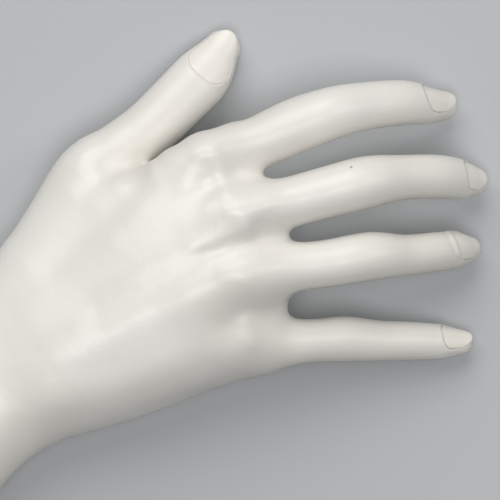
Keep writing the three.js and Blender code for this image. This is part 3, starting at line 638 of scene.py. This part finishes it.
def on_digit(nail, ahead, angle, height):
    """A point of a nail's digit: ahead of the tip station, round the digit, above the skin."""
    digit = nail["digit"]
    centre, along, side, back, section = digit["limb"].before_tip(np.maximum(-ahead, 0))
    beyond = np.maximum(ahead, 0)
    taper = np.sqrt(1 - (np.minimum(beyond, nail["past"]) / (NAIL_OVERHANG * digit["cap"])) ** 2)
    up, aside = np.cos(np.radians(angle)), -np.sin(np.radians(angle))
    out = unit(back * (up / section[:, 1])[:, None] + side * (aside / section[:, 0])[:, None])
    return (centre + along * beyond[:, None] + back * (taper * up * section[:, 1])[:, None]
            + side * (taper * aside * section[:, 0])[:, None] + out * height[:, None])


def nail_place(nail, ahead, angle, height):
    """The same for the nail itself, whose curve is evened out where the tip starts to round."""
    shifts = (-2.4, -1.2, 0, 1.2, 2.4)
    return sum(on_digit(nail, ahead + shift, angle, height) for shift in shifts) / len(shifts)


def nail_outline(nail, v):
    """Where a nail's root and its free edge lie, for a share of its half spread: both ends are half ovals."""
    bend = 1 - np.sqrt(1 - np.clip(v * v, 0, 1))
    return nail["past"] - nail["length"] + nail["root_curve"] * bend, nail["past"] - nail["tip_curve"] * bend


def sunk(nail, u, v):
    """How deep a nail lies under the skin: most at its root, and less towards the corners of the root."""
    return nail["sink"] * (1 - u) * (1 - CORNER_LIFT * np.clip(v * v, 0, 1) ** 2)


def nail_coordinates(limb, p):
    """How far points lie ahead of the tip station, their angle round the digit and its half breadth there."""
    best, ahead = np.full(len(p), 1e9), np.zeros(len(p))
    steps = np.arange(0, 26, 0.25)
    for step, centre in zip(steps, limb.before_tip(steps)[0]):
        square = ((p - centre) ** 2).sum(1)
        closer = square < best
        best[closer], ahead[closer] = square[closer], -step
    centre, along, side, back, section = limb.before_tip(-ahead)
    v = p - centre
    beyond = np.where(ahead == 0, np.maximum((v * along).sum(1), 0), 0)
    across, above = (v * side).sum(1) / section[:, 0], (v * back).sum(1) / section[:, 1]
    return ahead + beyond, np.degrees(np.arctan2(-across, above)), section[:, 0]


def outside_nail(nail, p):
    """Distance outside a nail's outline, negative under the nail, the distance outside its root alone, and
    the share of its half spread."""
    ahead, angle, radius = nail_coordinates(nail["digit"]["limb"], p)
    v = (angle - nail["turn"]) / nail["spread"]
    side = (np.abs(v) - 1) * np.radians(nail["spread"]) * radius
    root_line, free_edge = nail_outline(nail, v)
    root = root_line - ahead
    return np.maximum(np.maximum(side, root), ahead - free_edge), root, v


def bone_under_nail(nail, before):
    return nail["digit"]["limb"].before_tip(np.array([before]))[0][0]


def near_nail(nail, p):
    """Numbers of the points within 8 mm or so of a nail."""
    middle = bone_under_nail(nail, nail["length"] / 2 - nail["past"])
    return np.flatnonzero(((p - middle) ** 2).sum(1) < (nail["length"] * 0.5 + 8) ** 2)


def raise_nail_folds(bm):
    """Finer mesh round the nails, and a fold of skin that rolls down to each root and along its sides."""
    p = read_points(bm.verts)
    close = np.zeros(len(p), bool)
    for nail in NAILS.values():
        near = near_nail(nail, p)
        close[near[np.abs(outside_nail(nail, p[near])[0]) < FOLD_REACH]] = True
    bm.verts.ensure_lookup_table()
    edges = [e for e in bm.edges if close[e.verts[0].index] and close[e.verts[1].index]]
    bmesh.ops.subdivide_edges(bm, edges=edges, cuts=1, use_grid_fill=True)
    bm.verts.index_update()
    p = read_points(bm.verts)
    for nail in NAILS.values():
        near = near_nail(nail, p)
        q = settle(p[near], 2)
        outside, root, v = outside_nail(nail, q)
        at_root = ease(root, -4.0, 0.5)
        # A low roll 0.9 mm away from the nail, higher at the root, and the dip down to the sunk root
        roll = 0.05 + 0.2 * at_root
        fold = roll * np.exp(-((outside - 0.9) / 0.9) ** 2)
        fold -= FOLD_SHARE * sunk(nail, 0, v) * at_root * np.exp(-(np.maximum(outside, 0) / 1.1) ** 2)
        fold *= outside > -1.5
        p[near] = q + away_from_skin(q, 0.2) * fold[:, None]
    write_points(bm.verts, p)


def everything(bm):
    return bm.verts[:] + bm.edges[:] + bm.faces[:]


def face_outwards(bm):
    bmesh.ops.recalc_face_normals(bm, faces=bm.faces[:])


def extruded_copy(bm):
    """Extrudes a whole sheet and gives the new copy's points; the sheet stays as the other side."""
    made = bmesh.ops.extrude_face_region(bm, geom=everything(bm), use_keep_orig=True)
    return [part for part in made["geom"] if isinstance(part, bmesh.types.BMVert)]


def nail_seat(nail):
    """The space that a nail takes out of the digit, from under its bed to well above the skin."""
    bm = bmesh.new()
    bmesh.ops.create_grid(bm, x_segments=30, y_segments=26, size=1.0)
    lifted = set(extruded_copy(bm))
    upper = np.array([v in lifted for v in bm.verts])
    flat = np.array([v.co for v in bm.verts])
    u, v = (flat[:, 0] + 1) / 2, np.sin(flat[:, 1] * math.pi / 2)
    root, tip = nail_outline(nail, v)
    ahead = root - nail["gap"] + u * (tip + NAIL_SIDE_GAP + nail["gap"] - root)
    floor = -sunk(nail, u, v) - NAIL_THICKNESS - NAIL_BED_GAP
    width = nail["spread"] + math.degrees(NAIL_SIDE_GAP / nail["digit"]["limb"].section[-1][0])
    write_points(bm.verts, nail_place(nail, ahead, nail["turn"] + v * width, np.where(upper, 3.5, floor)))
    face_outwards(bm)
    return bm


def carved(bm, cutters):
    """Cuts closed forms out of a closed form."""
    objects = [new_object("carving", part) for part in [bm] + cutters]
    for cutter in objects[1:]:
        cut = objects[0].modifiers.new("cut", "BOOLEAN")
        cut.operation = "DIFFERENCE"
        cut.solver = "EXACT"
        cut.object = cutter
    return after_modifiers(objects)


def mark_painted_root_shade(bm):
    """Marks the nails' seats, and a little of the skin at the nail roots, where the paint darkens them as
    painted shade.
    """
    p = read_points(bm.verts)
    painted_root_shade = np.zeros(len(p))
    for nail in NAILS.values():
        near = near_nail(nail, p)
        outside, root, v = outside_nail(nail, p[near])
        depth = -skin_distance(p[near]) - FOLD_SHARE * sunk(nail, 0, v)
        at_root = ease(root, -3.0, 0.2)
        # A faint line of painted shade round each nail, darker along its root where the gap behind it is
        # wider
        beside = (0.04 + 1.4 * nail["gap"] * at_root) * np.exp(-(outside / 0.35) ** 2)
        # Deep painted shade on the sunk seat floors under the nails
        value = np.where((depth > 0.25) & (outside < 0.3), 0.9, beside)
        painted_root_shade[near] = np.maximum(painted_root_shade[near], value * (outside < 0.6))
    layer = bm.verts.layers.float.new("painted_root_shade")
    for v, value in zip(bm.verts, painted_root_shade):
        v[layer] = value


# Pieces of the wrist end are made in the end's own axes: across, up, and outwards from its face
def spun(section, place=(0, 0), steps=72):
    """A section of radii and outward places, turned about an axis of the end."""
    bm = bmesh.new()
    verts = [bm.verts.new((place[0] + radius, place[1], out)) for radius, out in section]
    loop = verts + verts[:1] if section[0][0] > 0 else verts
    edges = [bm.edges.new(pair) for pair in zip(loop, loop[1:])]
    bmesh.ops.spin(bm, geom=verts + edges, cent=(*place, 0), axis=(0, 0, 1), angle=2 * math.pi, steps=steps,
                   use_merge=True)
    bmesh.ops.remove_doubles(bm, verts=bm.verts[:], dist=1e-4)
    face_outwards(bm)
    return bm


def softened(corners, radius):
    """A closed section with every corner rounded: three points take the place of each."""
    p = np.array(corners, float)
    points = []
    for before, corner, after in zip(np.roll(p, 1, 0), p, np.roll(p, -1, 0)):
        legs = [way / np.linalg.norm(way) * min(radius, 0.4 * np.linalg.norm(way))
                for way in (before - corner, after - corner)]
        points += [tuple(corner + way) for way in (legs[0], (legs[0] + legs[1]) * 0.29, legs[1])]
    return points


def thread(crest, root, start, end, pitch):
    """The zigzag of a thread's section between two outward places."""
    turns = round(abs(end - start) / pitch)
    line = [(crest, start)]
    for i in range(turns):
        line += [(root, start + (i + 0.5) / turns * (end - start)),
                 (crest, start + (i + 1) / turns * (end - start))]
    return line


def join(bm, other):
    """Adds a form made in the end's axes to one that is already placed."""
    mesh = bpy.data.meshes.new("joined")
    in_place(other).to_mesh(mesh)
    other.free()
    bm.from_mesh(mesh)
    bpy.data.meshes.remove(mesh)


def in_place(bm):
    """Moves a form from the end's own axes to its place at the wrist."""
    p = np.array([v.co for v in bm.verts]) @ np.array((ACROSS, (0, 0, 1), OUT))
    write_points(bm.verts, END + p)
    face_outwards(bm)
    return bm


# The seam follows the middle of the limbs, a little lower, and dips where it would show beside the thumb
SEAM_DIP = (picture_path([(142, 163), (172, 138), (202, 112)], 20), 5, 5, 3.5)


def seam_height(p):
    weight, height = np.full(len(p), 1e-9), np.zeros(len(p))
    for limb, _ in LIMBS:
        for centre in limb.centre:
            square = (p[:, 0] - centre[0]) ** 2 + (p[:, 1] - centre[1]) ** 2
            share = np.exp(-square / (2 * SEAM_BLEND ** 2)) + 1e-12
            weight += share
            height += share * centre[2]
    return height / weight - SEAM_DROP - swell(p, *SEAM_DIP)


def from_end(p):
    """How deep points lie behind the face of the wrist end, and where they lie round its axis."""
    depth = (END - p) @ OUT
    return depth, p - END + np.outer(depth, OUT)


def half_shell(whole, upper):
    """One half of the casting: cut along the seam and given its wall, with an oval mouth for the plate."""
    bm = whole.copy()
    lift = HAIRLINE if upper else -HAIRLINE
    # With the seam moved to height 0, a level plane cuts along it
    p = read_points(bm.verts)
    p[:, 2] -= seam_height(p) + lift
    write_points(bm.verts, p)
    bmesh.ops.bisect_plane(bm, geom=everything(bm), dist=1e-8, plane_co=Vector(to_frame((0, 0, 0))),
                           plane_no=(0, 0, 1), clear_inner=upper, clear_outer=not upper)
    p = read_points(bm.verts)
    p[:, 2] += seam_height(p) + lift
    write_points(bm.verts, p)
    # The wall: the whole skin is extruded and its copy moved inwards, which closes the seam's edges too
    lining = extruded_copy(bm)
    outer = read_points(lining)
    inner = outer - away_from_skin(outer, 0.3) * WALL
    # Near the end the lining follows the oval of the plate
    depth, from_axis = from_end(outer)
    stretch = 1 / np.hypot(from_axis @ ACROSS / (END_HALF_BREADTH - MOUTH_WALL),
                           from_axis[:, 2] / (END_HALF_HEIGHT - MOUTH_WALL))
    mouth = outer + (stretch - 1)[:, None] * from_axis
    inner += (1 - ease(depth, PLATE_DEPTH + FIT, PLATE_DEPTH + 3))[:, None] * (mouth - inner)
    write_points(lining, inner)
    face_outwards(bm)
    for across, up in SCREW_PLACES:
        if (up > 0) == upper:
            join(bm, spun(softened(BOSS_SECTION, 0.3), (across, up)))
    return bm


def soften_end(bm):
    """Cuts the wrist end flat, with a small round along its rim."""
    for depth in (0, 0.15, RIM_ROUND):
        place = Vector(to_frame(END - depth * OUT))
        bmesh.ops.bisect_plane(bm, geom=everything(bm), dist=1e-8, plane_co=place, plane_no=Vector(OUT),
                               clear_outer=depth == 0)
    p = read_points(bm.verts)
    depth, from_axis = from_end(p)
    pull = RIM_ROUND * np.clip(1 - depth / RIM_ROUND, 0, 1) ** 2
    write_points(bm.verts, p - unit(from_axis) * pull[:, None])


whole = fused(clay_lumps(), CLAY_VOXEL)
pull_in(whole, 5)
whole = fused(whole, SKIN_VOXEL)
pull_in(whole, 3)
raise_nail_folds(whole)
whole = carved(whole, [nail_seat(nail) for nail in NAILS.values()])
# The cuts leave slivers and many-sided faces behind
bmesh.ops.remove_doubles(whole, verts=whole.verts[:], dist=0.01 * MM)
bmesh.ops.dissolve_degenerate(whole, edges=whole.edges[:], dist=0.01 * MM)
bmesh.ops.triangulate(whole, faces=[f for f in whole.faces if len(f.verts) > 4])
soften_end(whole)
mark_painted_root_shade(whole)
for name, shell, upper in (("back_skin", "back_shell", True), ("palm_skin", "palm_shell", False)):
    bm = half_shell(whole, upper)
    new_piece(name, bm, 0.7, skin_paint, shell)
whole.free()

# Nails: a plate that follows the digit, sunk a little at its root and rounded over its sides and free edge
for name, nail in NAILS.items():
    bm = bmesh.new()
    bmesh.ops.create_grid(bm, x_segments=44, y_segments=36, size=1.0)
    grid = np.array([v.co for v in bm.verts])
    u, v = (grid[:, 0] + 1) / 2, np.sin(grid[:, 1] * math.pi / 2)
    root, tip = nail_outline(nail, v)
    ahead = root + u * (tip - root)
    rounding = 0.1 * ease(np.abs(v), 0.96, 1.0) + 0.14 * ease(u, 0.95, 1.0) + 0.06 * ease(1 - u, 0.95, 1.0)
    height = -sunk(nail, u, v) - rounding
    write_points(bm.verts, nail_place(nail, ahead, nail["turn"] + v * nail["spread"], height))
    # Its faces look away from the bone before the plate gets its thickness
    bm.faces.ensure_lookup_table()
    bm.normal_update()
    middle = bm.faces[len(bm.faces) // 2]
    bone = Vector(to_frame(bone_under_nail(nail, nail["length"] / 2)))
    if middle.normal.dot(middle.calc_center_median() - bone) < 0:
        bmesh.ops.reverse_faces(bm, faces=bm.faces[:])
    bmesh.ops.solidify(bm, geom=bm.faces[:], thickness=NAIL_THICKNESS * MM)
    new_piece(name.replace("_nail", "_nail_plate"), bm, 0.9, nail_paint, name)

# Wrist plate: a bevelled oval, bored for the bush's flange and body and countersunk for the screws
plate_axes = (END_HALF_BREADTH - MOUTH_WALL - FIT, END_HALF_HEIGHT - MOUTH_WALL - FIT)
bm = bmesh.new()
bmesh.ops.create_circle(bm, cap_ends=True, segments=160, radius=1.0)
bmesh.ops.scale(bm, vec=(*plate_axes, 1), verts=bm.verts[:])
bmesh.ops.translate(bm, vec=(0, 0, -PLATE_DEPTH), verts=bm.verts[:])
bmesh.ops.translate(bm, vec=(0, 0, PLATE_DEPTH), verts=extruded_copy(bm))
face_outwards(bm)
rims = [e for e in bm.edges if e.calc_face_angle(0) > 1]
bmesh.ops.bevel(bm, geom=rims, offset=0.4, segments=3, profile=0.5, affect="EDGES", material=-1)
head, shank = SCREW_HEAD / 2 + FIT, SCREW_SHANK / 2 + FIT
flare = (head - shank) / SCREW_HEAD_HEIGHT
flange, body, under = BUSH_FLANGE / 2 + FIT, BUSH_BODY / 2 + FIT, -PLATE_DEPTH - OVERSHOOT
flange_floor = -BUSH_FLANGE_DEPTH - FIT
cutters = [spun([(0, OVERSHOOT), (flange + OVERSHOOT + EDGE_BREAK, OVERSHOOT), (flange, -EDGE_BREAK),
                 (flange, flange_floor), (body, flange_floor), (body, under), (0, under)], steps=96)]
cutters += [spun([(0, OVERSHOOT), (head + flare * OVERSHOOT, OVERSHOOT), (shank, -SCREW_HEAD_HEIGHT),
                  (shank, under), (0, under)], place, 48) for place in SCREW_PLACES]
bm = in_place(carved(bm, cutters))
new_piece("oval_plate", bm, 0.6, plate_plastic, "wrist_plate")

# Bush: a turned flange and a threaded body, bored and threaded inside
bore, body, bore_thread = BUSH_BORE / 2, BUSH_BODY / 2, 0.5
flange_corners = [(bore + bore_thread, 0), (BUSH_FLANGE / 2, 0), (BUSH_FLANGE / 2, -BUSH_FLANGE_DEPTH),
                  (body, -BUSH_FLANGE_DEPTH)]
# Of these corners only the two of the rim are rounded, each to three points
section = [flange_corners[0]] + softened(flange_corners, 0.25)[3:9]
section += [(body - 0.4, -BUSH_FLANGE_DEPTH), (body - 0.4, -2.4)]
section += thread(body, body - 0.45, -2.8, -BUSH_LENGTH + 0.6, OUTER_PITCH)
section += [(body - 0.5, -BUSH_LENGTH), (bore + bore_thread, -BUSH_LENGTH)]
section += thread(bore, bore + bore_thread, -BUSH_LENGTH + 0.5, -0.5, BORE_PITCH)
bm = in_place(spun(section, steps=96))
new_piece("turned_bush", bm, 0.5, bush_brass, "stand_bush")

# Washer and nut behind the plate
washer_top, hole = -PLATE_DEPTH - FIT, BUSH_BODY / 2 + FIT
washer_low = washer_top - WASHER_THICKNESS
corners = [(hole, washer_top), (WASHER_RADIUS, washer_top), (WASHER_RADIUS, washer_low), (hole, washer_low)]
bm = in_place(spun(softened(corners, 0.2)))
new_piece("pressed_washer", bm, 0.6, zinc_steel, "bush_washer")

nut_top = washer_low - FIT
nut_low, nut_radius = nut_top - NUT_HEIGHT, NUT_FLATS / math.cos(math.pi / 6)
bm = bmesh.new()
bmesh.ops.create_cone(bm, cap_ends=True, segments=6, radius1=nut_radius, radius2=nut_radius, depth=NUT_HEIGHT)
bmesh.ops.translate(bm, vec=(0, 0, nut_top - NUT_HEIGHT / 2), verts=bm.verts[:])
# Cones take off the corners at both ends, and the threaded bore is cut out with its chamfers
cutters = [spun([(NUT_FLATS - 0.1, end + out * OVERSHOOT), (NUT_CORNERS, end + out * OVERSHOOT),
                 (NUT_CORNERS, end - out * NUT_CHAMFER), (NUT_FLATS - 0.1, end)])
           for end, out in ((nut_top, 1), (nut_low, -1))]
cutters += [spun([(0, nut_top + OVERSHOOT), (hole + 1.5, nut_top + OVERSHOOT)]
                 + thread(hole, hole + 0.4, nut_top - 0.5, nut_low + 0.5, OUTER_PITCH)
                 + [(hole + 1.5, nut_low - OVERSHOOT), (0, nut_low - OVERSHOOT)])]
bm = in_place(carved(bm, cutters))
new_piece("threaded_nut", bm, 0.4, zinc_steel, "bush_nut")

# Countersunk screws with a cross slot; each is turned a little further than the one before it
head, shank = SCREW_HEAD / 2, SCREW_SHANK / 2
for number, place in enumerate(SCREW_PLACES, 1):
    bm = spun([(0, 0), (head - 0.3, 0), (head - 0.08, -0.08), (head, -0.3), (shank, -SCREW_HEAD_HEIGHT)]
              + thread(shank, shank - 0.3, -3, -SCREW_LENGTH + 1, OUTER_PITCH)
              + [(shank - 0.4, -SCREW_LENGTH + 0.7), (0.2, -SCREW_LENGTH), (0, -SCREW_LENGTH)], place, 48)
    slots = []
    for arm in range(2):
        slot = bmesh.new()
        bmesh.ops.create_cube(slot, size=1.0)
        for v in slot.verts:
            # The slot is narrower at its bottom
            narrow = 1 if v.co.z > 0 else 0.7
            v.co = (v.co.x * SLOT_LENGTH * narrow, v.co.y * SLOT_WIDTH * narrow, v.co.z * 2 * SLOT_DEPTH)
        turn = Matrix.Rotation(math.radians(90 * arm + 23 * number), 4, "Z")
        bmesh.ops.transform(slot, matrix=Matrix.Translation((*place, 0)) @ turn, verts=slot.verts[:])
        slots.append(slot)
    bm = in_place(carved(bm, slots))
    new_piece(f"cross_screw_{number}", bm, 0.5, zinc_steel, f"plate_screw_{number}")

# Stage: a plain pale floor, seen from above
bm = bmesh.new()
bmesh.ops.create_grid(bm, x_segments=1, y_segments=1, size=3.0)
floor = new_object("studio_floor", bm)
floor_material, tree, shader = new_material("matt_card")
set_up(tree, shader, {"Base Color": linear("#b9bbbd"), "Roughness": 0.85})
floor.data.materials.append(floor_material)


def soft_light(name, place, size, power, colour):
    """A round softbox that faces the middle of the hand."""
    lamp = bpy.data.lights.new(name, "AREA")
    lamp.shape = "DISK"
    lamp.size = size
    lamp.energy = power
    lamp.color = colour
    made = add_object(name, lamp)
    made.location = place
    made.rotation_mode = "QUATERNION"
    made.rotation_quaternion = (Vector((0, 0, 0.02)) - Vector(place)).to_track_quat("-Z", "Y")


soft_light("key_softbox", (-0.45, 1.5, 1.75), 2.3, 36.5, (1.0, 0.997, 0.99))
soft_light("fill_softbox", (1.3, 0.3, 1.5), 0.8, 5.0, (0.96, 0.98, 1.0))
soft_light("top_softbox", (0.05, -0.3, 2.2), 1.1, 19.5, (1.0, 1.0, 1.0))
world = bpy.data.worlds.new("studio")
scene.world = world
world.use_nodes = True
tree = world.node_tree
set_up(tree, tree.nodes["Background"], {"Color": linear("#d8dade"), "Strength": 0.10})
scene.view_settings.view_transform = "Standard"

# Camera: straight above the middle of the photograph, 1.2 m up; 160 mm of the hand's plane fill the frame
camera_data = bpy.data.cameras.new("overhead_camera")
camera_data.sensor_width = 36.0
camera_data.lens = camera_data.sensor_width * (CAMERA_HEIGHT - PICTURE_PLANE) / (PICTURE_SIZE * POINT)
camera_data.clip_end = 10.0
camera = add_object("overhead_camera", camera_data)
camera.location = to_frame((0, 0, CAMERA_HEIGHT))
scene.camera = camera
